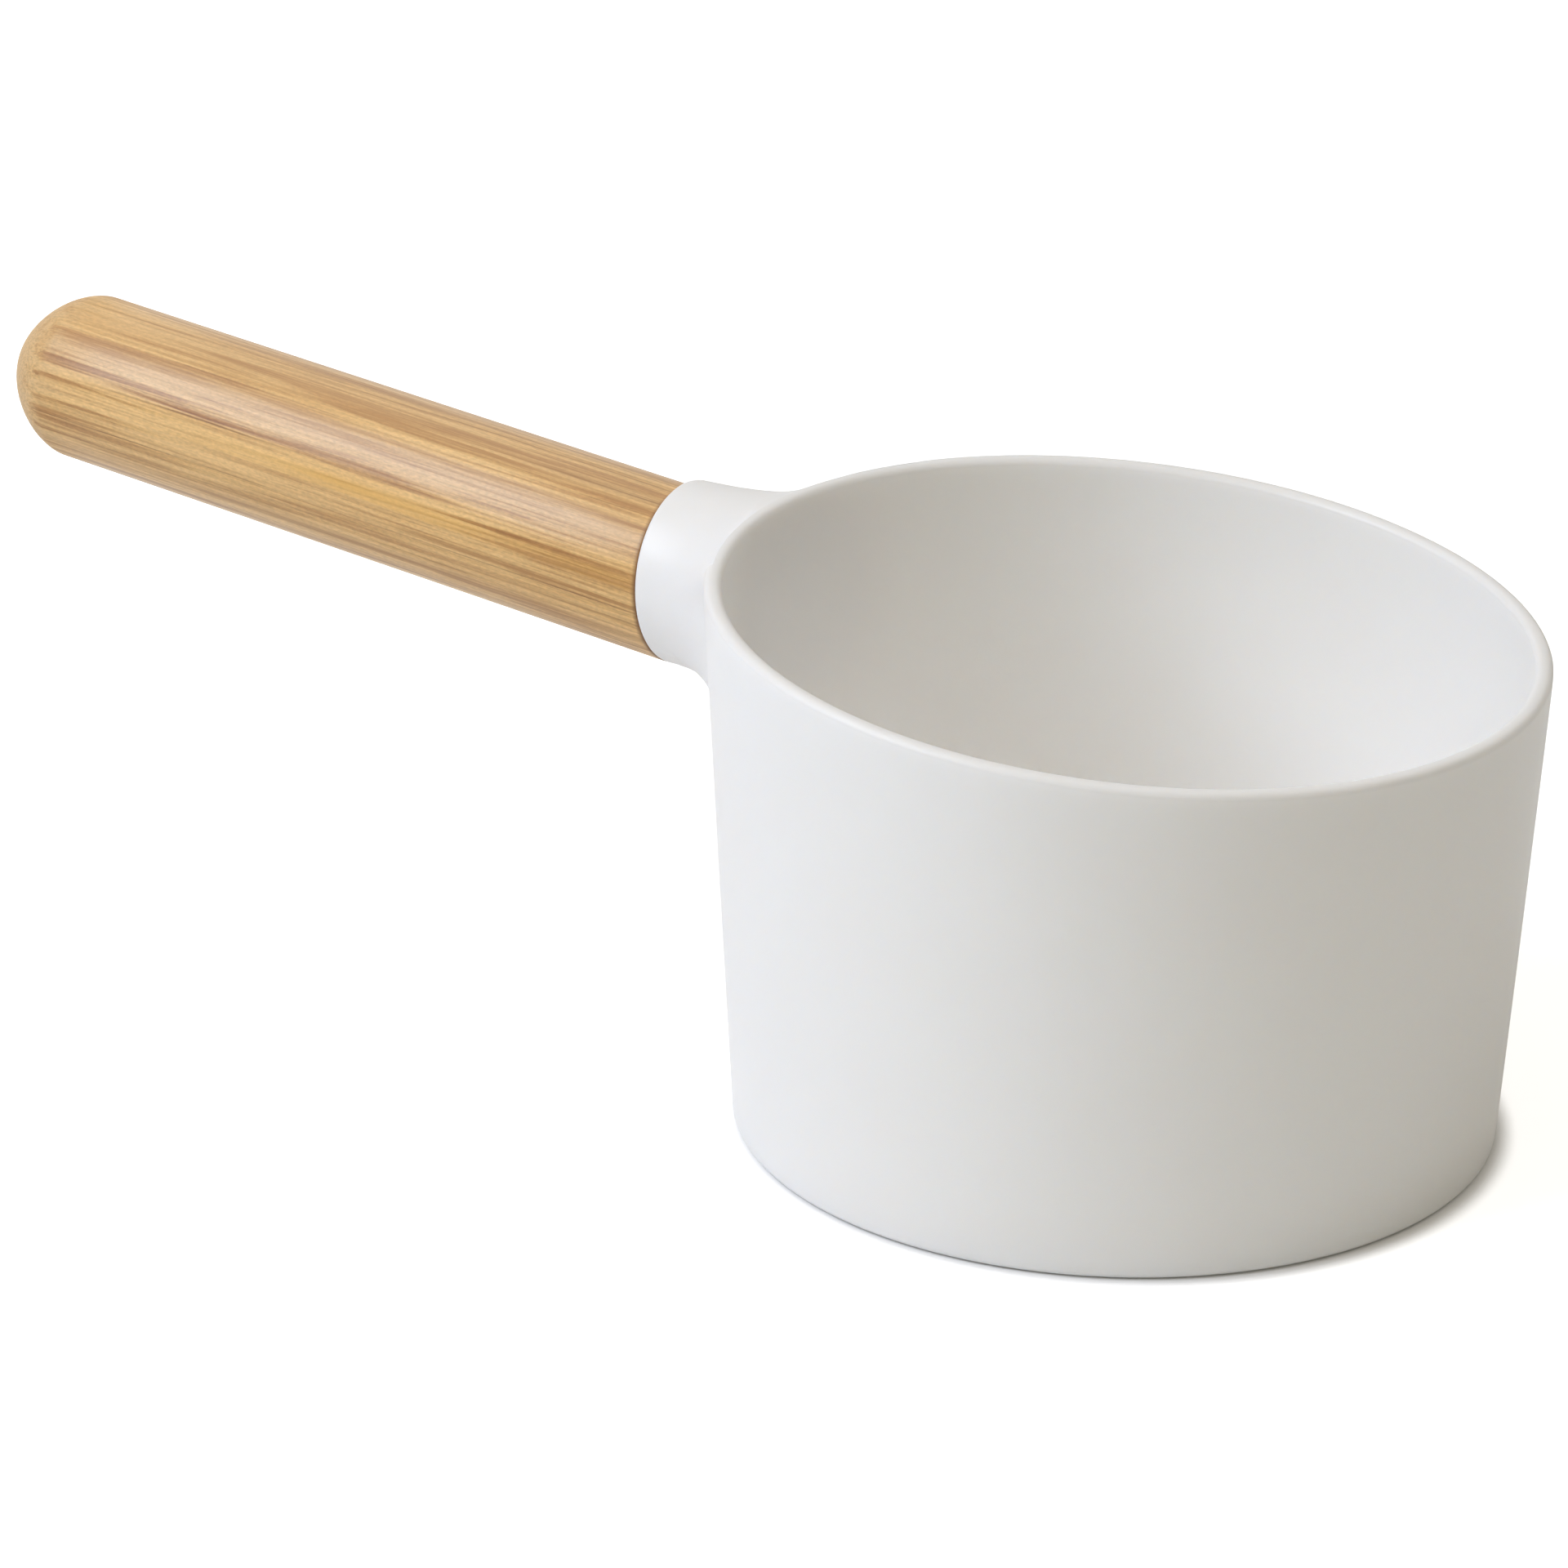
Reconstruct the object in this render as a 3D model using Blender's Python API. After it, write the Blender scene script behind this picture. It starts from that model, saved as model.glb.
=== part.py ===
# Bath scoop: a white moulded cup with a slanted rim and a neck, a turned bamboo handle,
# and the screw joint hidden between them.
# The base stands on z = 0 with its centre at the origin, and the handle points along -X.
import math

import bmesh
import bpy
from mathutils import Vector

MM = 0.001

# Cup, outside
RIM_RADIUS = 65.0 * MM          # outer radius at RIM_HEIGHT
FOOT_RADIUS = 60.0 * MM         # outer radius that the straight wall would have at z = 0
RIM_HEIGHT = 83.4 * MM          # height of the rim plane on the cup's axis
SLANT = math.radians(5.0)       # rim plane and handle both rise towards the handle's end
FOOT_EDGE = 1.5 * MM            # rounding between the base and the wall

# Cup, walls
WALL = 3.0 * MM
FLOOR = 3.5 * MM
LIP_EDGE = 1.2 * MM             # rounding of the lip, inside and outside
FLOOR_FILLET = 9.0 * MM         # inside corner between floor and wall

# Neck, moulded in one with the cup; its sides run level, its face is parallel to the cup's wall
NECK_LENGTH = 17.15 * MM        # from the cup's outer wall to the collar face, square to both
NECK_SPREAD = 16.3 * MM        # how far the neck flares sideways where it runs into the wall
NECK_SPREAD_BELOW = 10.0 * MM   # the same below the neck
FLARE_AT_WALL = 0.36            # how long the flare follows the wall, as a share of its run
FLARE_AT_NECK = 0.95            # how long it follows the neck's side
COLLAR_STEP = 0.9 * MM          # how far the collar stands outside the handle
COLLAR_RISE = 0.85 * MM         # the collar's centre lies this far above the handle's
COLLAR_ROUND = 0.8 * MM         # length of the rounding at the collar's mouth
COLLAR_WALL = 3.2 * MM          # ring of material between the handle's outline and the core
CORE_DEPTH = 12.0 * MM          # ring-shaped hollow behind the collar face
BOSS_WALL = 2.6 * MM            # material round the threaded insert

# Handle
HANDLE_RADIUS = 14.0 * MM
HANDLE_LENGTH = 134.85 * MM     # visible length along its axis, collar face to tip
HANDLE_DROP = 17.9 * MM         # the handle's axis crosses the cup's axis this far below the rim plane
DOME_LENGTH = 13.4 * MM         # rounded end of the handle
DOME_POWER = 1.61               # 2 would make the end an ellipse, less draws its shoulder in
HANDLE_EDGE = 0.4 * MM          # broken edge at the collar

# Hanger bolt and threaded insert, both square to the collar face
BOLT_RADIUS = 3.0 * MM
BOLT_REACH = 36.0 * MM          # length of the bolt inside the handle
BOLT_POINT = 6.0 * MM
BOLT_CHAMFER = 0.6 * MM
BOLT_WAIST = 0.4 * MM           # the plain shank between the two threads is thinner by this
BOLT_WAIST_LENGTH = 5.0 * MM
INSERT_RADIUS = 4.6 * MM
INSERT_LENGTH = 9.0 * MM
INSERT_GROOVE = 0.5 * MM
INSERT_GROOVE_LENGTH = 1.6 * MM

# Clearances
SEAT_GAP = 0.3 * MM             # between pieces that touch
BOLT_END_GAP = 0.5 * MM         # from the bolt's ends to the ends of their holes

# Mesh density
WALL_COLUMNS = 80               # columns round the cup outside the neck's patch
PATCH_COLUMNS = 20              # columns across the neck's patch
PATCH_ROWS = 8
PATCH_CROWDING = 1.5            # above 1 the patch's columns lie closer towards its middle
ARC_STEPS = 4
DOME_STEPS = 12
NECK_STEPS = 14
ROUND_SEGMENTS = 48
SHARP_EDGE = math.radians(35.0)

COLOURS = {
    "cup": ((0.83, 0.82, 0.79, 1.0), 0.38, 0.0),
    "handle_grip": ((0.61, 0.40, 0.19, 1.0), 0.42, 0.0),
    "hanger_bolt": ((0.62, 0.62, 0.63, 1.0), 0.30, 1.0),
    "threaded_insert": ((0.72, 0.53, 0.22, 1.0), 0.35, 1.0),
}

WALL_SLOPE = (RIM_RADIUS - FOOT_RADIUS) / RIM_HEIGHT
WALL_LEAN = math.atan(WALL_SLOPE)
HANDLE_HEIGHT = RIM_HEIGHT - HANDLE_DROP
COLLAR_RADIUS = HANDLE_RADIUS + COLLAR_STEP
CORE_RADIUS = HANDLE_RADIUS - COLLAR_WALL
BOSS_RADIUS = INSERT_RADIUS + BOSS_WALL
BOLT_HOLE_RADIUS = BOLT_RADIUS + SEAT_GAP


def wall_radius(z):
    return FOOT_RADIUS + WALL_SLOPE * z


def handle_point(distance, radius, angle):
    """A point round the handle's axis; distance runs along it from the cup's axis, angle 0 is the top."""
    up = radius * math.cos(angle)
    x = distance * math.cos(SLANT) - up * math.sin(SLANT)
    z = HANDLE_HEIGHT + distance * math.sin(SLANT) + up * math.cos(SLANT)
    return Vector((-x, radius * math.sin(angle), z))


# Distance along the handle's axis at which it meets the collar face
JOINT = (wall_radius(HANDLE_HEIGHT) + NECK_LENGTH / math.cos(WALL_LEAN)) / (
    math.cos(SLANT) - WALL_SLOPE * math.sin(SLANT))
FACE_CENTRE = handle_point(JOINT, 0.0, 0.0)
FACE_OUT = Vector((-math.cos(WALL_LEAN), 0.0, -math.sin(WALL_LEAN)))
FACE_UP = Vector((-math.sin(WALL_LEAN), 0.0, math.cos(WALL_LEAN)))
HANDLE_TIP = JOINT + HANDLE_LENGTH


def face_point(radius, angle, depth=0.0, rise=0.0):
    """A point on a circle parallel to the collar face, depth below it, square into the neck."""
    up = FACE_UP * (radius * math.cos(angle) + rise)
    across = Vector((0.0, radius * math.sin(angle), 0.0))
    return FACE_CENTRE + up + across - FACE_OUT * depth


def neck_point(angle, run, share=1.0):
    """A point on the neck's level side, run in from the face; share 0 is the handle's outline."""
    radius = HANDLE_RADIUS + COLLAR_STEP * share
    return face_point(radius, angle, rise=COLLAR_RISE * share) + Vector((run, 0.0, 0.0))


def rim_point(theta, inset, drop):
    """A point on the wall's cone, inset from it and below the slanted rim plane."""
    level = RIM_HEIGHT - drop
    fall = math.tan(SLANT) * math.cos(theta)
    radius = (wall_radius(level) - inset) / (1.0 + WALL_SLOPE * fall)
    return level_point(theta, radius, level - fall * radius)


def level_point(theta, radius, z):
    return Vector((radius * math.cos(theta), radius * math.sin(theta), z))


def quarter(steps):
    """Angles of a quarter turn without its start."""
    return [0.5 * math.pi * i / steps for i in range(1, steps + 1)]


def column_angles():
    """Azimuths round the cup, the neck's patch first; pi is the handle's side."""
    half = math.asin((COLLAR_RADIUS + NECK_SPREAD) / RIM_RADIUS)
    shares = [2.0 * i / PATCH_COLUMNS - 1.0 for i in range(PATCH_COLUMNS)]
    patch = [math.pi + half * math.copysign(abs(share) ** PATCH_CROWDING, share) for share in shares]
    rest = 2.0 * math.pi - 2.0 * half
    wall = [math.pi + half + rest * i / WALL_COLUMNS for i in range(WALL_COLUMNS)]
    return patch + wall


def outer_rings(angles):
    """Rings of points from the base edge up the outside to the lip's flat, and the patch's first ring."""
    rings = []
    flat = FOOT_RADIUS - FOOT_EDGE
    rings.append([level_point(a, flat, 0.0) for a in angles])
    for turn in quarter(ARC_STEPS):
        z = FOOT_EDGE * (1.0 - math.cos(turn))
        inset = FOOT_EDGE * (1.0 - math.sin(turn))
        rings.append([level_point(a, wall_radius(z) - inset, z) for a in angles])
    foot = neck_point(math.pi, NECK_LENGTH).z - NECK_SPREAD_BELOW
    patch_start = len(rings)
    for i in range(PATCH_ROWS + 1):
        ring = []
        for a in angles:
            top = rim_point(a, 0.0, LIP_EDGE).z
            z = foot + (top - foot) * i / PATCH_ROWS
            ring.append(level_point(a, wall_radius(z), z))
        rings.append(ring)
    for turn in quarter(ARC_STEPS):
        inset = LIP_EDGE * (1.0 - math.cos(turn))
        drop = LIP_EDGE * (1.0 - math.sin(turn))
        rings.append([rim_point(a, inset, drop) for a in angles])
    return rings, patch_start


def inner_rings(angles):
    """Rings of points from the lip's flat down the inside to the floor."""
    rings = []
    for turn in [0.0] + quarter(ARC_STEPS):
        inset = WALL - LIP_EDGE * (1.0 - math.sin(turn))
        drop = LIP_EDGE * (1.0 - math.cos(turn))
        rings.append([rim_point(a, inset, drop) for a in angles])
    for turn in [0.0] + quarter(2 * ARC_STEPS):
        z = FLOOR + FLOOR_FILLET * (1.0 - math.sin(turn))
        inset = WALL + FLOOR_FILLET * (1.0 - math.cos(turn))
        rings.append([level_point(a, wall_radius(z) - inset, z) for a in angles])
    return rings


def add_ring(bm, points):
    return [bm.verts.new(p) for p in points]


def join_rings(bm, lower, upper, skip=0):
    """Quads between two closed rings; the first columns can be left open."""
    count = len(lower)
    for i in range(skip, count):
        j = (i + 1) % count
        bm.faces.new((lower[i], lower[j], upper[j], upper[i]))


def close_ring(bm, ring, point):
    """A fan from a ring to a point inside it."""
    centre = bm.verts.new(point)
    for i, vertex in enumerate(ring):
        bm.faces.new((vertex, ring[(i + 1) % len(ring)], centre))


def loft(bm, ring, sections):
    """Extends a ring through further rings of points and returns the last one."""
    for points in sections:
        following = add_ring(bm, points)
        join_rings(bm, ring, following)
        ring = following
    return ring


def patch_border(rings, patch_start):
    """The open patch's border, walked from its top middle past its -Y side.

    Each vertex comes with the turn of its surface: 0 on the wall, a quarter turn on the lip's flat.
    """
    low = rings[patch_start]
    high = rings[-1]
    middle = PATCH_COLUMNS // 2
    turns = [0.0] * (PATCH_ROWS + 1) + quarter(ARC_STEPS)
    rows = list(zip(rings[patch_start:], turns))
    border = [(high[c], turns[-1]) for c in range(middle, PATCH_COLUMNS)]
    border += [(row[PATCH_COLUMNS], turn) for row, turn in reversed(rows)]
    border += [(low[c], turns[0]) for c in range(PATCH_COLUMNS - 1, 0, -1)]
    border += [(row[0], turn) for row, turn in rows]
    border += [(high[c], turns[-1]) for c in range(1, middle)]
    return border


def neck_bearing(point):
    """Angle of a point round the neck, seen along its level side from the collar's middle."""
    return math.atan2(point.y, point.z - FACE_CENTRE.z - COLLAR_RISE)


def collar_angles(border):
    """Angles round the collar for the border's points; those of the patch's two sides are spread evenly."""
    angles = [neck_bearing(point) for point in border]
    corner = PATCH_COLUMNS // 2
    rows = PATCH_ROWS + ARC_STEPS
    start, end = angles[corner], angles[corner + rows]
    for i in range(rows):
        angles[corner + i] = start + (end - start) * i / rows
        angles[-corner - i] = -angles[corner + i]
    return angles


def neck_foot(angle):
    """Where the neck's straight side at an angle would meet the wall's cone."""
    side = neck_point(angle, 0.0)
    side.x = -math.sqrt(wall_radius(side.z) ** 2 - side.y ** 2)
    return side


def border_normal(point, turn):
    """Normal of the wall at a point, turned over the lip's edge towards the rim plane's."""
    outward = Vector((point.x, point.y, 0.0)).normalized()
    wall = (outward - Vector((0.0, 0.0, WALL_SLOPE))).normalized()
    rim = Vector((math.sin(SLANT), 0.0, math.cos(SLANT)))
    return (wall * math.cos(turn) + rim * math.sin(turn)).normalized()


def bezier(p0, p1, p2, p3, t):
    s = 1.0 - t
    return p0 * s ** 3 + p1 * (3.0 * s * s * t) + p2 * (3.0 * s * t * t) + p3 * t ** 3


def neck_curve(start, turn, angle):
    """A curve that leaves the wall or the lip along its surface and ends along the neck's side."""
    foot = neck_foot(angle)
    end = neck_point(angle, COLLAR_ROUND)
    normal = border_normal(start, turn)
    run = foot - start
    reach = run.length * FLARE_AT_WALL
    run -= normal * run.dot(normal)
    return start, start + run.normalized() * reach, end.lerp(foot, FLARE_AT_NECK), end


def build_neck(bm, rings, patch_start):
    """Lofts the neck from the open patch's border to the collar's mouth."""
    border = patch_border(rings, patch_start)
    angles = collar_angles([vertex.co for vertex, turn in border])
    curves = [neck_curve(vertex.co.copy(), turn, a) for (vertex, turn), a in zip(border, angles)]
    shares = [i / NECK_STEPS for i in range(1, NECK_STEPS + 1)]
    sections = [[bezier(*curve, t) for curve in curves] for t in shares]
    side = loft(bm, [vertex for vertex, turn in border], sections)

    mouth = []
    for turn in quarter(ARC_STEPS):
        run = COLLAR_ROUND * (1.0 - math.sin(turn))
        mouth.append([neck_point(a, run, math.cos(turn)) for a in angles])
    stations = [
        (CORE_RADIUS, 0.0),
        (CORE_RADIUS, CORE_DEPTH),
        (BOSS_RADIUS, CORE_DEPTH),
        (BOSS_RADIUS, 0.0),
        (INSERT_RADIUS + SEAT_GAP, 0.0),
        (INSERT_RADIUS + SEAT_GAP, INSERT_LENGTH + SEAT_GAP),
    ]
    hollow = [[face_point(radius, a, depth) for a in angles] for radius, depth in stations]
    last = loft(bm, side, mouth + hollow)
    close_ring(bm, last, face_point(0.0, 0.0, INSERT_LENGTH + SEAT_GAP))


def paint(obj):
    colour, roughness, metallic = COLOURS[obj.name]
    material = bpy.data.materials.new(obj.name)
    material.use_nodes = True
    shader = material.node_tree.nodes["Principled BSDF"]
    shader.inputs["Base Color"].default_value = colour
    shader.inputs["Roughness"].default_value = roughness
    shader.inputs["Metallic"].default_value = metallic
    material.diffuse_color = colour
    obj.data.materials.append(material)


def finish_object(name, bm):
    """Turns a closed bmesh into a smooth-shaded object whose real edges stay sharp."""
    bmesh.ops.recalc_face_normals(bm, faces=bm.faces[:])
    mesh = bpy.data.meshes.new(name)
    bm.to_mesh(mesh)
    bm.free()
    mesh.shade_smooth()
    mesh.set_sharp_from_angle(angle=SHARP_EDGE)
    obj = bpy.data.objects.new(name, mesh)
    bpy.context.scene.collection.objects.link(obj)
    paint(obj)
    return obj


def build_cup():
    """The moulded cup with its slanted rim, and the neck lofted out of its wall."""
    bm = bmesh.new()
    angles = column_angles()
    outside, patch_start = outer_rings(angles)
    outside = [add_ring(bm, ring) for ring in outside]
    for i in range(len(outside) - 1):
        join_rings(bm, outside[i], outside[i + 1], PATCH_COLUMNS if i >= patch_start else 0)
    floor = loft(bm, outside[-1], inner_rings(angles))
    close_ring(bm, floor, Vector((0.0, 0.0, FLOOR)))
    close_ring(bm, outside[0], Vector((0.0, 0.0, 0.0)))
    build_neck(bm, outside, patch_start)
    return finish_object("cup", bm)


def on_face(radius, angle):
    """Distance along the handle's axis at which its side meets the leaning end face."""
    bend = SLANT + WALL_LEAN
    return JOINT + (SEAT_GAP + radius * math.cos(angle) * math.sin(bend)) / math.cos(bend)


def build_handle():
    """The bamboo handle: bolt hole, end face cut to lie on the collar, round body, rounded tip."""
    bm = bmesh.new()
    turns = [2.0 * math.pi * i / ROUND_SEGMENTS for i in range(ROUND_SEGMENTS)]
    hole_end = -BOLT_REACH - BOLT_END_GAP
    inner = HANDLE_RADIUS - HANDLE_EDGE
    hole = add_ring(bm, [face_point(BOLT_HOLE_RADIUS, a, hole_end) for a in turns])
    sections = [
        [face_point(BOLT_HOLE_RADIUS, a, -SEAT_GAP) for a in turns],
        [handle_point(on_face(inner, a), inner, a) for a in turns],
        [handle_point(on_face(HANDLE_RADIUS, a) + HANDLE_EDGE, HANDLE_RADIUS, a) for a in turns],
        [handle_point(HANDLE_TIP - DOME_LENGTH, HANDLE_RADIUS, a) for a in turns],
    ]
    for turn in quarter(DOME_STEPS)[:-1]:
        radius = HANDLE_RADIUS * math.cos(turn) ** (2.0 / DOME_POWER)
        distance = HANDLE_TIP - DOME_LENGTH * (1.0 - math.sin(turn) ** (2.0 / DOME_POWER))
        sections.append([handle_point(distance, radius, a) for a in turns])
    last = loft(bm, hole, sections)
    close_ring(bm, hole, face_point(0.0, 0.0, hole_end))
    close_ring(bm, last, handle_point(HANDLE_TIP, 0.0, 0.0))
    return finish_object("handle_grip", bm)


def turned_rings(profile):
    """Rings about +Z for points given as (height, radius)."""
    turns = [2.0 * math.pi * i / ROUND_SEGMENTS for i in range(ROUND_SEGMENTS)]
    return [[level_point(t, radius, height) for t in turns] for height, radius in profile]


def place_on_face(obj):
    """Stands a piece turned about +Z square on the collar face, +Z towards the handle."""
    obj.location = FACE_CENTRE
    obj.rotation_euler = (0.0, -0.5 * math.pi - WALL_LEAN, 0.0)
    return obj


def build_bolt():
    """Hanger bolt: machine thread in the insert, thin waist, pointed wood thread in the bamboo."""
    bm = bmesh.new()
    start = BOLT_END_GAP - INSERT_LENGTH
    waist_radius = BOLT_RADIUS - BOLT_WAIST
    rings = turned_rings([
        (start, BOLT_RADIUS - BOLT_CHAMFER),
        (start + BOLT_CHAMFER, BOLT_RADIUS),
        (0.0, BOLT_RADIUS),
        (BOLT_WAIST, waist_radius),
        (BOLT_WAIST_LENGTH - BOLT_WAIST, waist_radius),
        (BOLT_WAIST_LENGTH, BOLT_RADIUS),
        (BOLT_REACH - BOLT_POINT, BOLT_RADIUS),
    ])
    first = add_ring(bm, rings[0])
    last = loft(bm, first, rings[1:])
    close_ring(bm, first, Vector((0.0, 0.0, start)))
    close_ring(bm, last, Vector((0.0, 0.0, BOLT_REACH)))
    return place_on_face(finish_object("hanger_bolt", bm))


def build_insert():
    """Brass insert moulded into the neck's boss: a bored sleeve with a groove round its middle."""
    bm = bmesh.new()
    middle = -0.5 * INSERT_LENGTH
    half_groove = 0.5 * INSERT_GROOVE_LENGTH
    groove_radius = INSERT_RADIUS - INSERT_GROOVE
    rings = turned_rings([
        (-INSERT_LENGTH, BOLT_HOLE_RADIUS),
        (-INSERT_LENGTH, INSERT_RADIUS),
        (middle - half_groove, INSERT_RADIUS),
        (middle - half_groove, groove_radius),
        (middle + half_groove, groove_radius),
        (middle + half_groove, INSERT_RADIUS),
        (0.0, INSERT_RADIUS),
        (0.0, BOLT_HOLE_RADIUS),
    ])
    first = add_ring(bm, rings[0])
    last = loft(bm, first, rings[1:])
    join_rings(bm, last, first)
    return place_on_face(finish_object("threaded_insert", bm))


def main():
    for obj in list(bpy.data.objects):
        bpy.data.objects.remove(obj, do_unlink=True)
    build_cup()
    build_handle()
    build_bolt()
    build_insert()


main()
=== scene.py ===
import math

import bmesh
import bpy
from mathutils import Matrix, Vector


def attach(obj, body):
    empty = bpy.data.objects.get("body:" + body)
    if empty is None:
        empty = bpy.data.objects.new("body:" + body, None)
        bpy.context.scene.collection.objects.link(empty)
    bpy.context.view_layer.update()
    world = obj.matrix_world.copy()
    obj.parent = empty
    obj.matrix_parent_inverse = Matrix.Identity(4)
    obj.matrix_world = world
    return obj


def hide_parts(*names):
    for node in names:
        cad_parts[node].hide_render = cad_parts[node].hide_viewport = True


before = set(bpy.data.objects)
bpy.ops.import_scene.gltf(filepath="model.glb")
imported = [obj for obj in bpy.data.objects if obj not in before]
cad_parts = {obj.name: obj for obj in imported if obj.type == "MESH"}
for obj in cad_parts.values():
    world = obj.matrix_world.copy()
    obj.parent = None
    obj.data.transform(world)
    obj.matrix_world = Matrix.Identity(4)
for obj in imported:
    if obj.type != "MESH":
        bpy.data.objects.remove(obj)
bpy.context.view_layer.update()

mm = 0.001


def note(stage):
    print("scoop: " + stage)


def toEdit():
    bpy.ops.object.mode_set(mode="EDIT")


def toObject():
    bpy.ops.object.mode_set(mode="OBJECT")


def pickNone():
    bpy.ops.object.select_all(action="DESELECT")


pickNone()   # the loaded nodes come in selected


def newMaterial(name):
    mat = bpy.data.materials.new(name)
    mat.use_nodes = True
    tree = mat.node_tree
    return mat, tree, tree.nodes["Principled BSDF"]


def addNode(tree, kind, x, y, **inputs):
    node = tree.nodes.new("ShaderNode" + kind)
    node.location = (x, y)
    for key, value in inputs.items():
        node.inputs[key.replace("_", " ")].default_value = value
    return node


def addNoise(tree, x, y, place, scale, detail, rough=0.5):
    node = addNode(tree, "TexNoise", x, y, Scale=scale, Detail=detail, Roughness=rough)
    tree.links.new(place, node.inputs["Vector"])
    return node.outputs[0]


def addMath(tree, x, y, operation, *values):
    node = tree.nodes.new("ShaderNodeMath")
    node.location = (x, y)
    node.operation = operation
    for socket, value in zip(node.inputs, values):
        if isinstance(value, (int, float)):
            socket.default_value = value
        else:
            tree.links.new(value, socket)
    return node.outputs[0]


def addRange(tree, x, y, value, start, end, low=0.0, high=1.0, soft=True):
    node = addNode(tree, "MapRange", x, y,
                   From_Min=start, From_Max=end, To_Min=low, To_Max=high)
    node.interpolation_type = "SMOOTHSTEP" if soft else "LINEAR"
    tree.links.new(value, node.inputs[0])
    return node.outputs[0]


def addMix(tree, x, y, share, first, second, blend="MIX"):
    node = tree.nodes.new("ShaderNodeMix")
    node.location = (x, y)
    node.data_type = "RGBA"
    node.blend_type = blend
    for place, value in ((0, share), (6, first), (7, second)):
        if isinstance(value, tuple):
            node.inputs[place].default_value = (*value, 1.0)
        elif isinstance(value, (int, float)):
            node.inputs[place].default_value = value
        else:
            tree.links.new(value, node.inputs[place])
    return node.outputs[2]


def addRamp(tree, x, y, value, stops):
    node = tree.nodes.new("ShaderNodeValToRGB")
    node.location = (x, y)
    elements = node.color_ramp.elements
    while len(elements) < len(stops):
        elements.new(0.5)
    for element, (place, colour) in zip(elements, stops):
        element.position = place
        element.color = (*colour, 1.0) if isinstance(colour, tuple) else (*[colour] * 3, 1.0)
    tree.links.new(value, node.inputs[0])
    return node.outputs[0]


def addBump(tree, x, y, height, strength, distance, normal=None):
    node = addNode(tree, "Bump", x, y, Strength=strength, Distance=distance)
    tree.links.new(height, node.inputs["Height"])
    if normal:
        tree.links.new(normal, node.inputs["Normal"])
    return node.outputs[0]


def openPiece(name):
    piece = bpy.context.object
    piece.name = name
    piece.data.name = name
    bpy.ops.object.transform_apply(location=True, rotation=True, scale=True)
    toEdit()
    bpy.ops.mesh.select_mode(type="VERT")
    bpy.ops.mesh.select_all(action="SELECT")
    return piece


def pick(kind, test):   # in edit mode, leaves selected only the faces or edges that pass
    bpy.ops.mesh.select_all(action="DESELECT")
    bpy.ops.mesh.select_mode(type=kind)
    mesh = bmesh.from_edit_mesh(bpy.context.object.data)
    for item in (mesh.faces if kind == "FACE" else mesh.edges):
        item.select_set(test(item))
    mesh.select_flush_mode()
    bmesh.update_edit_mesh(bpy.context.object.data)


def pullRing(ring, centre, radius):   # extrudes the selected ring to the next one of a turned form
    step = centre - ring["centre"]
    bpy.ops.mesh.extrude_region_move(TRANSFORM_OT_translate={"value": step})
    grow = radius / ring["radius"]
    bpy.ops.transform.resize(value=(grow, grow, grow), center_override=centre)
    ring["centre"] = centre
    ring["radius"] = radius


def closePiece(piece, node, material, sharpest):
    toEdit()
    bpy.ops.mesh.select_all(action="SELECT")
    bpy.ops.mesh.normals_make_consistent(inside=False)
    toObject()
    bpy.ops.object.shade_smooth_by_angle(angle=math.radians(sharpest))
    piece.data.materials.clear()
    piece.data.materials.append(material)
    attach(piece, "root")
    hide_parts(node)
    pickNone()
    note("%s modelled, %d faces" % (piece.name, len(piece.data.polygons)))


# the cup; spans run from where a tone sets in to where it is full

cupFinish = {
    "colour": (0.935, 0.923, 0.908),
    "cloud": (0.922, 0.909, 0.892),       # slow uneven tint of the moulding
    "neck": 0.96,                         # painted shade: the neck is toned a little darker than the cup
    "neckShadeSpan": (-56 * mm, -70 * mm),     # along X
    "paintedTopShade": 0.87,                         # painted shade: tone of the up-facing lip and the neck's top
    "topSpan": (74 * mm, 87 * mm),        # height on the neck
    "rim": (83.4, 5.0),                   # its height over the axis in mm, its slant in degrees
    "lipSpan": (1.3, 0.3),                # under the rim, in mm
    "speck": (0.20, 0.17, 0.14),
    "speckScale": 70.0,
    "speckSpan": (0.008, 0.016),          # from a speck's middle to its edge, in cells
    "speckFree": 0.86,                    # share of the cells without one
    "cloudNoise": (22.0, 3.0),            # scale and detail
    "waveNoise": (60.0, 1.0),
    "waveBump": (0.10, 2 * mm),           # strength and depth
    "skinNoise": (1400.0, 2.0, 0.6),      # scale, detail and roughness
    "skinBump": (0.05, 0.3 * mm),
    "roughness": (0.36, 0.46),
    "glossyCollar": 0.08,                 # taken off the roughness near the collar
    "collarSpan": (-66 * mm, -86 * mm),   # along X
    "deep": 0.6,                          # share of the light that goes into the resin
    "depth": 3 * mm,                      # and how far, each colour by its own share
    "depthShares": (1.0, 0.9, 0.8),
}


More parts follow.
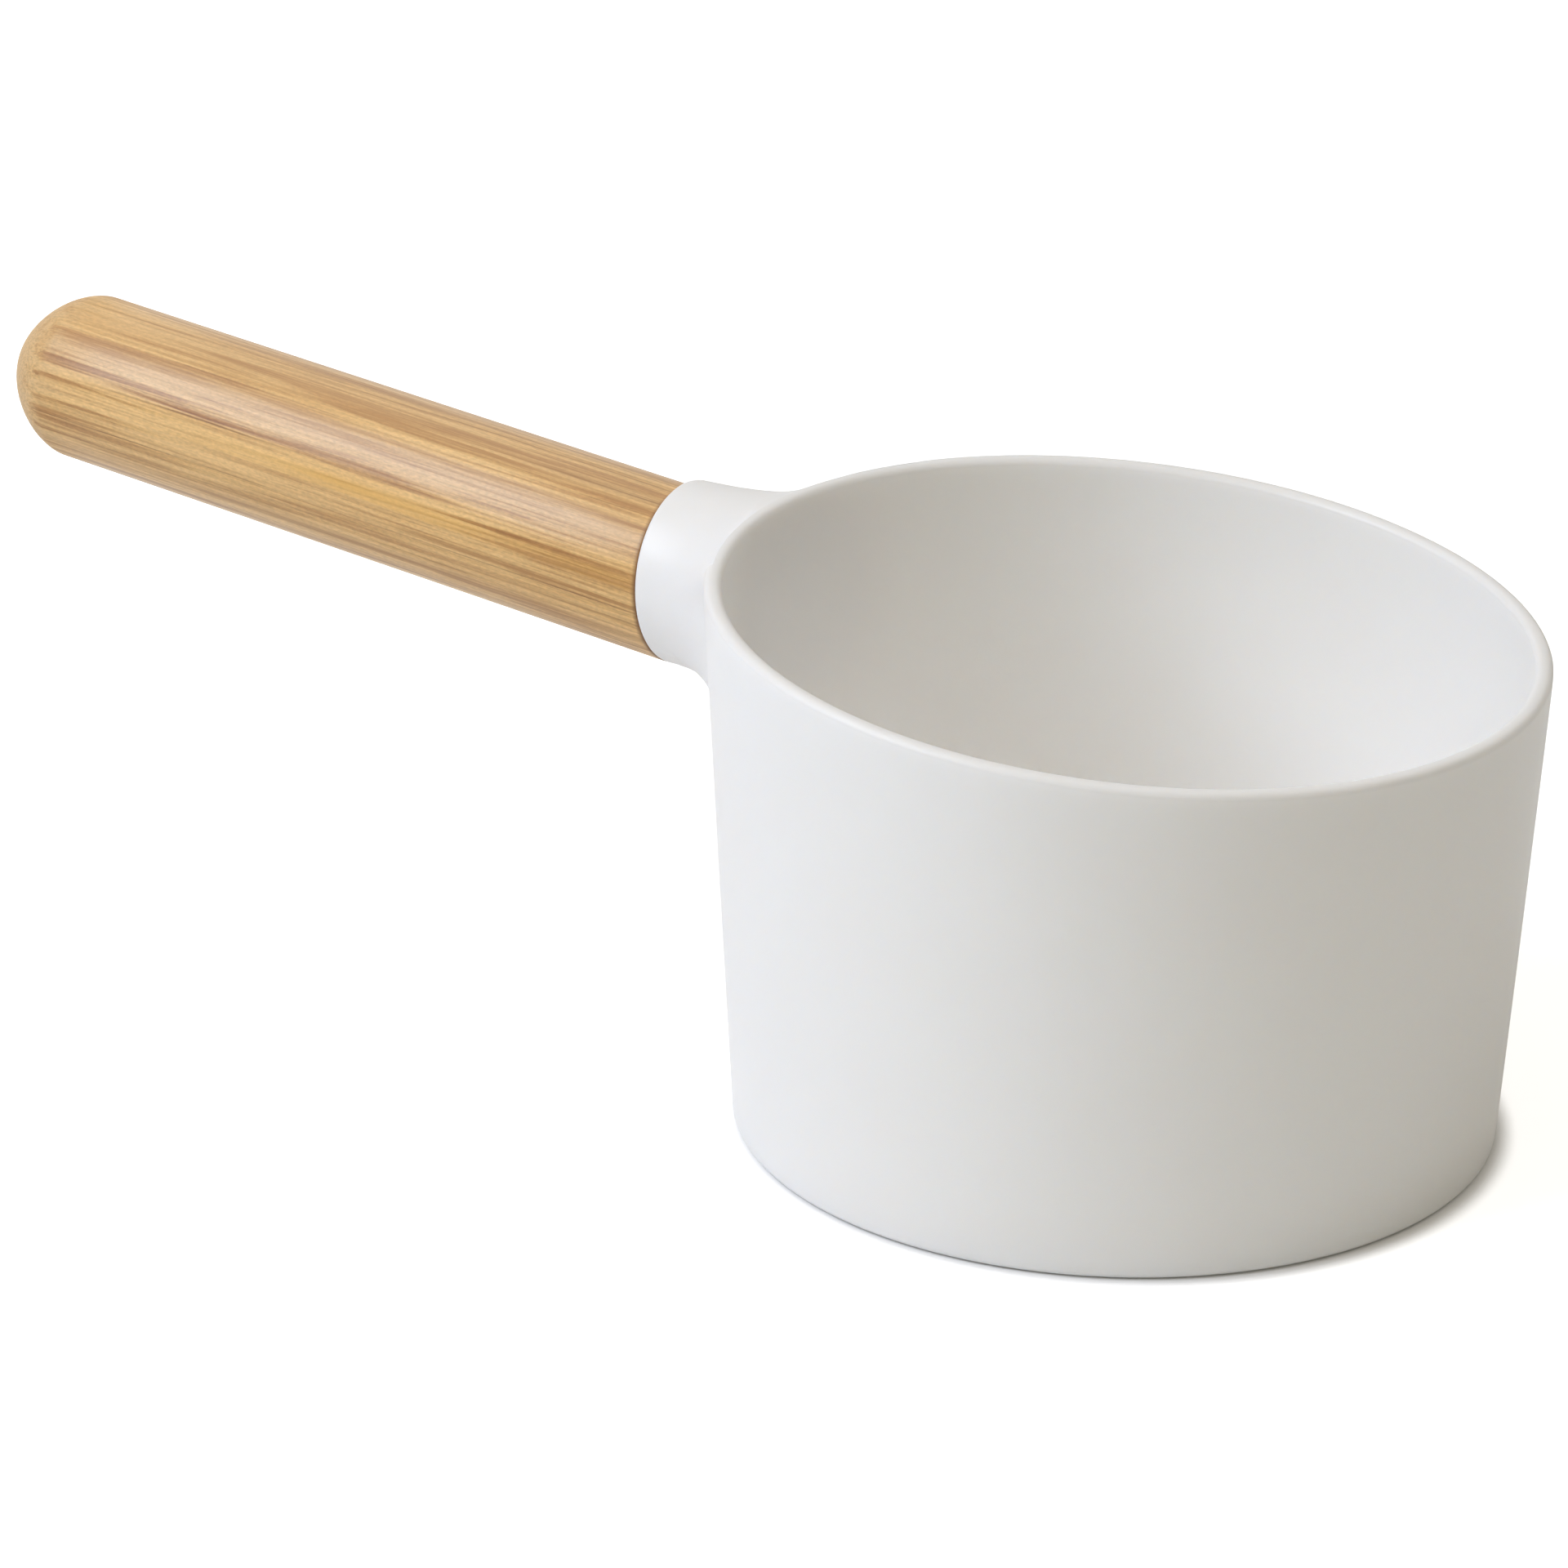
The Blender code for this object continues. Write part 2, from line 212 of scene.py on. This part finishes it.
def whiteResin(s):
    mat, tree, shader = newMaterial("satinWhiteResin")
    place = addNode(tree, "TexCoord", -1500, 0).outputs["Object"]
    split = addNode(tree, "SeparateXYZ", -1200, -850)
    tree.links.new(place, split.inputs[0])
    along, height = split.outputs[0], split.outputs[2]
    cloud = addNoise(tree, -1200, 300, place, *s["cloudNoise"])
    wave = addNoise(tree, -1200, -600, place, *s["waveNoise"])
    skin = addNoise(tree, -1200, -300, place, *s["skinNoise"])

    tint = addRamp(tree, -950, 300, cloud, ((0.35, s["cloud"]), (0.65, s["colour"])))
    # painted shade: the neck is toned darker than the rest of the cup
    neck = addRange(tree, -950, 550, along, *s["neckShadeSpan"])
    tint = addMix(tree, -500, 400, neck, tint, tuple(s["neck"] * c for c in s["colour"]))

    # painted shade: the up-facing lip and the neck's top are darkened
    rim, slant = s["rim"]
    begins, full = s["lipSpan"]
    tilt = math.tan(math.radians(slant))
    level = addMath(tree, -1000, 800, "MULTIPLY_ADD", along, tilt, height)   # as if the rim lay level
    lip = addRange(tree, -800, 800, level, (rim - begins) * mm, (rim - full) * mm)
    top = addRange(tree, -800, 1050, height, *s["topSpan"], soft=False)
    neckTopShade = addMath(tree, -700, 1150, "MULTIPLY", top, neck)
    paintedTopShade = addMath(tree, -600, 900, "MAXIMUM", lip, neckTopShade)
    tint = addMix(tree, -400, 600, paintedTopShade, tint, tuple(s["paintedTopShade"] * c for c in s["colour"]))

    speck = addNode(tree, "TexVoronoi", -1200, 0, Scale=s["speckScale"])
    few = addNode(tree, "SeparateColor", -950, -120)
    tree.links.new(place, speck.inputs["Vector"])
    tree.links.new(speck.outputs["Color"], few.inputs[0])
    rare = addMath(tree, -750, -120, "GREATER_THAN", few.outputs[0], s["speckFree"])
    middle, edge = s["speckSpan"]
    dot = addRamp(tree, -950, 0, speck.outputs["Distance"], ((middle, 1.0), (edge, 0.0)))
    dots = addMath(tree, -550, 0, "MULTIPLY", dot, rare)
    tree.links.new(addMix(tree, -300, 200, dots, tint, s["speck"]), shader.inputs["Base Color"])

    satin, dull = s["roughness"]
    gloss = addRamp(tree, -950, -400, cloud, ((0.3, satin), (0.7, dull)))
    collar = addRange(tree, -950, -850, along, *s["collarSpan"])
    less = addMath(tree, -700, -850, "MULTIPLY", collar, s["glossyCollar"])
    tree.links.new(addMath(tree, -500, -500, "SUBTRACT", gloss, less), shader.inputs["Roughness"])

    shader.inputs["Subsurface Weight"].default_value = s["deep"]
    shader.inputs["Subsurface Radius"].default_value = s["depthShares"]
    shader.inputs["Subsurface Scale"].default_value = s["depth"]

    slow = addBump(tree, -500, -650, wave, *s["waveBump"])
    fine = addBump(tree, -250, -650, skin, *s["skinBump"], normal=slow)
    tree.links.new(fine, shader.inputs["Normal"])
    return mat


cupShape = {
    "merge": 0.01 * mm,
    "quadAngle": 30.0,      # degrees between two triangles that may join
    "quadShape": 60.0,      # degrees by which the joined face may miss a rectangle's corners
    "keptCorner": 50.0,     # degrees; the hidden hollow and its hole keep their corners
    "fineLevels": 2,
    "collar": (-81.536 * mm, 0, 72.633 * mm),   # middle of the collar's face
    "collarLean": 3.431,                        # degrees
    "evened": (0.9 * mm, 8 * mm),   # the neck's skin is evened out this far behind the face
    "outside": 14.0 * mm,           # and farther than this from the middle
    "rounds": 20,
    "sharpest": 40.0,               # degrees; flatter edges are shaded smooth
}

cup = bpy.data.objects.new("mouldedCup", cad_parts["cup"].data.copy())
bpy.context.collection.objects.link(cup)
bpy.context.view_layer.objects.active = cup
cup.select_set(True)
bpy.ops.mesh.customdata_custom_splitnormals_clear()     # the copy shades by its own faces
toEdit()
bpy.ops.mesh.select_all(action="SELECT")
bpy.ops.mesh.remove_doubles(threshold=cupShape["merge"])
bpy.ops.mesh.tris_convert_to_quads(
    face_threshold=math.radians(cupShape["quadAngle"]),
    shape_threshold=math.radians(cupShape["quadShape"]),
    topology_influence=1.0)
pick("EDGE", lambda edge: edge.calc_face_angle(0) > math.radians(cupShape["keptCorner"]))
bpy.ops.transform.edge_crease(value=1.0)
toObject()
fine = cup.modifiers.new("fine", "SUBSURF")
fine.levels = cupShape["fineLevels"]
fine.render_levels = cupShape["fineLevels"]
bpy.ops.object.modifier_apply(modifier=fine.name)


def behindCollar(face):
    lean = math.radians(cupShape["collarLean"])
    out = Vector((-math.cos(lean), 0, -math.sin(lean)))
    reach = face.calc_center_median() - Vector(cupShape["collar"])
    behind = -reach.dot(out)
    near, far = cupShape["evened"]
    return near < behind < far and (reach + behind * out).length > cupShape["outside"]


toEdit()
pick("FACE", behindCollar)
bpy.ops.mesh.vertices_smooth(factor=0.5, repeat=cupShape["rounds"])
toObject()
closePiece(cup, "cup", whiteResin(cupFinish), cupShape["sharpest"])


# the bamboo grip

gripShape = {
    "columns": 128,
    "radius": 14 * mm,
    "crossing": 65.5 * mm,      # height at which the grip's axis meets the cup's
    "rise": 5.0,                # degrees
    "joint": 81.847 * mm,       # from the cup's axis to the collar face, along the grip's axis
    "faceLean": 3.431,          # degrees, the collar face lies parallel to the wall
    "spare": 6 * mm,            # the turned form begins behind the face and is cut to it
    "gap": 0.3 * mm,
    "length": 134.84 * mm,
    "dome": 13.4 * mm,
    "domePower": 1.61,          # 2 would be an ellipse, less is more pointed
    "domeRings": 20,
    "edge": 0.4 * mm,
    "edgeSteps": 3,
    "bore": 3.3 * mm,           # clear of the hanger bolt
    "boreDepth": 36.2 * mm,
    "sharpest": 35.0,           # degrees; flatter edges are shaded smooth
}

bambooFinish = {
    "light": (0.80, 0.52, 0.22),
    "middle": (0.70, 0.43, 0.16),
    "dark": (0.47, 0.24, 0.075),
    "line": (0.24, 0.11, 0.035),
    "honey": (0.74, 0.41, 0.075),
    "groove": (0.76, 0.66, 0.58),   # the wood's colour is multiplied by this between the fibres
    # how far each texture is stretched along the grip, its scale, detail and roughness
    "pores": (3, 3200.0, 1.0, 0.5),
    "fibres": (70, 1900.0, 2.0, 0.5),
    "streaks": (40, 620.0, 4.0, 0.66),
    "clouds": (5, 70.0, 2.0, 0.5),
    "drift": (3, 45.0, 1.0, 0.5),
    "wander": 1.2,                  # how far the layers drift up and down, in mm
    # layers of the glued blank, seen from its side: height over the grip's axis, half width,
    # from and to along the grip, all in mm, strength, colour
    "layers": (
        # the wide dark layers at 12.8 and 9.6 mm are partly the wood's brown band and partly painted
        # shade on the grip's upper side
        (12.8, 1.5, -10, 150, 1.00, "dark"),
        (12.9, 0.5, -10, 20, 0.80, "line"),
        (9.6, 2.3, -10, 150, 0.95, "dark"),
        (5.0, 0.25, 70, 122, 0.70, "line"),
        (2.4, 0.25, 108, 128, 0.50, "line"),
        (2.6, 1.6, 8, 82, 0.75, "honey"),
        (1.5, 0.5, 0, 112, 0.45, "honey"),
        (-1.5, 0.45, 0, 112, 1.00, "dark"),
        (-2.3, 0.18, 0, 125, 0.75, "line"),
        (-4.6, 0.35, -5, 40, 0.60, "dark"),
        (-7.2, 1.4, -5, 132, 1.00, "dark"),
        (-10.4, 0.6, -5, 140, 0.50, "dark"),
    ),
    "layerFade": (12.0, 15.0),      # how softly a layer begins and ends, in mm
    "endGrain": (0.64, 0.42, 0.195),
    "endSpan": (126.0, 135.0),      # where the end grain begins and is full, in mm
    "endUneven": 16.0,              # some fibres run out sooner by up to this
    "endShare": 0.9,
    "jointLean": 8.431,             # degrees from the collar's face to the grip's square end
    "jointShadeSpan": (1.3, 0.3),         # where the painted shade in the joint's gap begins and is full, in mm
    "jointShadeShare": 0.85,
    "roughness": (0.28, 0.38),
    "dullSpan": (110.0, 125.0),     # the lacquer sinks in towards the tip, in mm
    "dullEnd": 0.20,                # and is rougher there by this
    "lacquer": (0.32, 0.62, 1.0),   # tint of the lacquer's reflection
    "fibreBump": (0.12, 0.2 * mm),
    "streakBump": (0.10, 0.4 * mm),
}


def lacqueredBamboo(s, origin, rise):
    mat, tree, shader = newMaterial("lacqueredBamboo")
    wire = tree.links.new
    place = addNode(tree, "TexCoord", -2600, 0).outputs["Object"]
    grain = addNode(tree, "Mapping", -2400, 0, Location=origin, Rotation=(0, rise, 0))
    grain.vector_type = "TEXTURE"       # X now runs back along the grip, Z is its height
    split = addNode(tree, "SeparateXYZ", -2200, -300)
    wire(place, grain.inputs[0])
    wire(grain.outputs[0], split.inputs[0])
    along = addMath(tree, -2000, -300, "MULTIPLY", split.outputs[0], -1000.0)    # in mm
    height = addMath(tree, -2000, -450, "MULTIPLY", split.outputs[2], 1000.0)

    def stretched(y, stretch, scale, detail, rough):
        squeeze = addNode(tree, "Mapping", -2000, y, Scale=(1 / stretch, 1, 1))
        wire(grain.outputs[0], squeeze.inputs[0])
        return addNoise(tree, -1800, y, squeeze.outputs[0], scale, detail, rough)

    pores = stretched(1200, *s["pores"])
    fibres = stretched(900, *s["fibres"])
    streaks = stretched(600, *s["streaks"])
    clouds = stretched(300, *s["clouds"])
    drift = stretched(0, *s["drift"])

    tone = addRamp(tree, -1500, 600, streaks,
                   ((0.38, s["dark"]), (0.46, s["middle"]), (0.57, s["light"])))
    cloudy = addRamp(tree, -1500, 300, clouds, ((0.35, 0.0), (0.70, 0.55)))
    tone = addMix(tree, -1200, 700, cloudy, tone, s["middle"])
    fine = addRamp(tree, -1500, 900, fibres, ((0.30, s["groove"]), (0.48, 1.0), (0.70, 1.12)))
    tone = addMix(tree, -1000, 700, 1.0, tone, fine, "MULTIPLY")
    speckle = addRamp(tree, -1500, 1100, pores, ((0.30, 0.90), (0.70, 1.10)))
    tone = addMix(tree, -800, 700, 1.0, tone, speckle, "MULTIPLY")

    wander = addMath(tree, -1500, 0, "MULTIPLY_ADD", drift, s["wander"], -0.5 * s["wander"])
    wavy = addMath(tree, -1300, -100, "ADD", height, wander)
    broken = addRamp(tree, -1500, -200, streaks, ((0.40, 1.0), (0.56, 0.30)))
    patchy = addRamp(tree, -1500, -350, clouds, ((0.38, 0.25), (0.58, 1.0)))
    fadeIn, fadeOut = s["layerFade"]
    for row, (level, half, start, end, strength, colour) in enumerate(s["layers"]):
        y = -400 - 260 * row
        above = addMath(tree, -1250, y, "SUBTRACT", wavy, level)
        away = addMath(tree, -1100, y, "ABSOLUTE", above)
        inside = addRange(tree, -950, y, away, 0.0, half, strength, 0.0)
        reach = addRange(tree, -950, y - 120, along, start - fadeIn, start + fadeIn, soft=False)
        leave = addRange(tree, -950, y - 200, along, end + fadeOut, end - fadeOut, soft=False)
        span = addMath(tree, -750, y - 120, "MULTIPLY", reach, leave)
        share = addMath(tree, -600, y, "MULTIPLY", inside, span)
        share = addMath(tree, -450, y, "MULTIPLY", share, patchy if colour == "honey" else broken)
        tone = addMix(tree, -300, y, share, tone, s[colour])

    dots = addRamp(tree, -1500, 1500, pores, ((0.36, 0.84), (0.56, 1.06)))
    ends = addMix(tree, -500, -3500, 1.0, s["endGrain"], dots, "MULTIPLY")
    bent = addMath(tree, -1250, -3400, "MULTIPLY_ADD", streaks, s["endUneven"], along)
    endGrain = addRange(tree, -950, -3400, bent, *s["endSpan"], high=s["endShare"], soft=False)
    tone = addMix(tree, -150, 0, endGrain, tone, ends)

    # painted shade: the grip's end is darkened where it meets the collar
    lean = math.tan(math.radians(s["jointLean"]))
    fromFace = addMath(tree, -1250, -3700, "MULTIPLY_ADD", height, -lean, along)
    jointShade = addRange(tree, -950, -3700, fromFace, *s["jointShadeSpan"], high=s["jointShadeShare"])
    wire(addMix(tree, 0, 0, jointShade, tone, s["line"]), shader.inputs["Base Color"])

    glossy, satin = s["roughness"]
    gloss = addRamp(tree, -1200, 1100, fibres, ((0.3, satin), (0.7, glossy)))
    dull = addRange(tree, -950, 1500, along, *s["dullSpan"], high=s["dullEnd"])
    wire(addMath(tree, -700, 1300, "ADD", gloss, dull), shader.inputs["Roughness"])
    shader.inputs["Specular Tint"].default_value = (*s["lacquer"], 1.0)
    coarse = addBump(tree, -1100, 1300, streaks, *s["streakBump"])
    ridged = addBump(tree, -900, 1100, fibres, *s["fibreBump"], normal=coarse)
    wire(ridged, shader.inputs["Normal"])
    return mat


def turnGrip(s, finish):
    rise, lean = math.radians(s["rise"]), math.radians(s["faceLean"])
    along = Vector((-math.cos(rise), 0, math.sin(rise)))
    faceOut = Vector((-math.cos(lean), 0, -math.sin(lean)))
    start = Vector((0, 0, s["crossing"]))
    faceCentre = start + along * s["joint"]

    first = faceCentre - along * s["spare"]
    bpy.ops.mesh.primitive_circle_add(
        vertices=s["columns"], radius=s["radius"], fill_type="NOTHING",
        location=first, rotation=along.to_track_quat("Z", "Y").to_euler())
    grip = openPiece("bambooGrip")
    ring = {"centre": first, "radius": s["radius"]}
    straight = s["joint"] + s["length"] - s["dome"]
    for share in (0.25, 0.5, 0.75, 1.0):
        pullRing(ring, first.lerp(start + along * straight, share), s["radius"])
    power = 2 / s["domePower"]
    for step in range(1, s["domeRings"]):
        turn = 0.5 * math.pi * step / s["domeRings"]
        pullRing(ring, start + along * (straight + s["dome"] * math.sin(turn) ** power),
                 s["radius"] * math.cos(turn) ** power)
    tip = start + along * (straight + s["dome"])
    bpy.ops.mesh.extrude_region_move(TRANSFORM_OT_translate={"value": tip - ring["centre"]})
    bpy.ops.mesh.merge(type="CENTER")

    bpy.ops.mesh.select_all(action="SELECT")
    end = faceCentre + faceOut * s["gap"]
    bpy.ops.mesh.bisect(plane_co=end, plane_no=faceOut, use_fill=True, clear_inner=True)

    def onEnd(face):
        return abs((face.calc_center_median() - end).dot(faceOut)) < 0.01 * mm

    pick("FACE", onEnd)
    bpy.ops.mesh.bevel(offset=s["edge"], segments=s["edgeSteps"], affect="EDGES")
    pick("FACE", lambda face: onEnd(face) and len(face.verts) > 8)     # not the bevel's faces
    bpy.ops.mesh.inset(thickness=s["radius"] - s["edge"] - s["bore"], depth=0)
    bpy.ops.mesh.extrude_region_move(
        TRANSFORM_OT_translate={"value": faceOut * s["boreDepth"]})
    toObject()
    material = lacqueredBamboo(finish, faceCentre, rise)
    closePiece(grip, "handle_grip", material, s["sharpest"])


turnGrip(gripShape, bambooFinish)


# the fixing, hidden in the joint

fixing = {
    "hanger_bolt": {
        "name": "zincPlatedSteel", "colour": (0.62, 0.62, 0.63),
        "roughness": (0.30, 0.45), "noise": (900.0, 3.0)},
    "threaded_insert": {
        "name": "turnedBrass", "colour": (0.72, 0.53, 0.22),
        "roughness": (0.28, 0.43), "noise": (900.0, 3.0)},
}


def plainMetal(s):
    mat, tree, shader = newMaterial(s["name"])
    place = addNode(tree, "TexCoord", -1100, 0).outputs["Object"]
    cloud = addNoise(tree, -850, 0, place, *s["noise"])
    dark = tuple(0.8 * c for c in s["colour"])
    bright, dull = s["roughness"]
    tone = addRamp(tree, -600, 150, cloud, ((0.3, dark), (0.7, s["colour"])))
    gloss = addRamp(tree, -600, -150, cloud, ((0.3, bright), (0.7, dull)))
    tree.links.new(tone, shader.inputs["Base Color"])
    tree.links.new(gloss, shader.inputs["Roughness"])
    shader.inputs["Metallic"].default_value = 1.0
    return mat


for node, finish in fixing.items():
    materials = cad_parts[node].data.materials
    materials.clear()
    materials.append(plainMetal(finish))
note("fixing dressed")


floorLook = {
    "size": 6.0,
    "colour": 0.83,
    "lift": 0.66,       # light of its own for the camera and reflections, so it is white
    "middle": (0.0011, -0.0003, 0),     # the lift spreads from here, away from the key light
    "foot": (0.0588, 0.0628),   # it starts under the cup's edge and is full this far out
    "least": 0.02,
    "mirrored": 0.45,           # share of the lift that reflections show
    "roughness": 0.9,
}

bpy.ops.mesh.primitive_plane_add(size=floorLook["size"], location=(0, 0, 0))
floor = bpy.context.object
floor.name = "floor"
paper, tree, shader = newMaterial("paperFloor")
shader.inputs["Base Color"].default_value = (*[floorLook["colour"]] * 3, 1.0)
shader.inputs["Roughness"].default_value = floorLook["roughness"]
shader.inputs["Specular IOR Level"].default_value = 0.0
shader.inputs["Emission Color"].default_value = (1, 1, 1, 1)
ray = addNode(tree, "LightPath", -700, -300).outputs
mirrored = addMath(tree, -450, -150, "MULTIPLY", ray["Is Glossy Ray"], floorLook["mirrored"])
seen = addMath(tree, -450, -300, "MAXIMUM", ray["Is Camera Ray"], mirrored)
away = addNode(tree, "VectorMath", -900, -550)
away.operation = "DISTANCE"
away.inputs[1].default_value = floorLook["middle"]
tree.links.new(addNode(tree, "TexCoord", -1100, -550).outputs["Object"], away.inputs[0])
clear = addRange(tree, -700, -550, away.outputs["Value"], *floorLook["foot"],
                 floorLook["least"], floorLook["lift"])
lift = addMath(tree, -200, -300, "MULTIPLY", seen, clear)
tree.links.new(lift, shader.inputs["Emission Strength"])
floor.data.materials.append(paper)
pickNone()
note("floor laid")


studio = {
    "colour": (1.0, 0.92, 0.75),
    "fill": 0.04,
    "target": (-0.03, 0.0, 0.05),   # the lamps point at it
}

world = bpy.data.worlds.new("studio")
bpy.context.scene.world = world
world.use_nodes = True
tree = world.node_tree
fill = tree.nodes["Background"]
fill.inputs["Color"].default_value = (*studio["colour"], 1.0)
fill.inputs["Strength"].default_value = studio["fill"]
white = addNode(tree, "Background", 0, -200, Color=(1, 1, 1, 1), Strength=1.0)
ray = addNode(tree, "LightPath", -300, 300).outputs
seen = addMath(tree, 0, 300, "MAXIMUM", ray["Is Camera Ray"], ray["Is Glossy Ray"])
choose = addNode(tree, "MixShader", 250, 0)
for source, socket in zip((seen, fill.outputs[0], white.outputs[0]), choose.inputs):
    tree.links.new(source, socket)
tree.links.new(choose.outputs[0], tree.nodes["World Output"].inputs["Surface"])

lamps = {   # aim points from the scoop to the lamp
    "keySoftbox": {
        "aim": (-0.48, -0.59, 0.65), "far": 1.6, "size": 1.0,
        "power": 17.9, "colour": (0.80, 0.86, 0.985)},
    "overheadPanel": {
        "aim": (0, 0, 1), "far": 1.6, "size": 3.2,
        "power": 25.4, "colour": (1.0, 0.94, 0.83)},
    "warmCard": {
        "aim": (0.7, -0.7, 0.3), "far": 1.6, "size": 1.0,
        "power": 2.0, "colour": (1.0, 0.93, 0.66)},
}

target = Vector(studio["target"])
for name, lamp in lamps.items():
    place = target + Vector(lamp["aim"]).normalized() * lamp["far"]
    bpy.ops.object.light_add(type="AREA", location=place)
    light = bpy.context.object
    light.name = name
    light.data.shape = "SQUARE"
    light.data.size = lamp["size"]
    light.data.energy = lamp["power"]
    light.data.color = lamp["colour"]
    light.rotation_euler = (target - place).to_track_quat("-Z", "Y").to_euler()
note("%d lamps set" % len(lamps))


shot = {
    "place": (0.43182, -0.76897, 0.40988),
    "turn": (68.0296, -0.6659, 32.9962),    # degrees
    "lens": 141.331,
    "sensor": 36.0,
    "nearest": 0.01,
}

bpy.ops.object.camera_add(location=shot["place"], rotation=[math.radians(v) for v in shot["turn"]])
camera = bpy.context.object
camera.data.lens = shot["lens"]
camera.data.sensor_width = shot["sensor"]
camera.data.clip_start = shot["nearest"]
bpy.context.scene.camera = camera
bpy.context.scene.view_settings.view_transform = "Standard"

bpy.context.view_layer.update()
note("done")
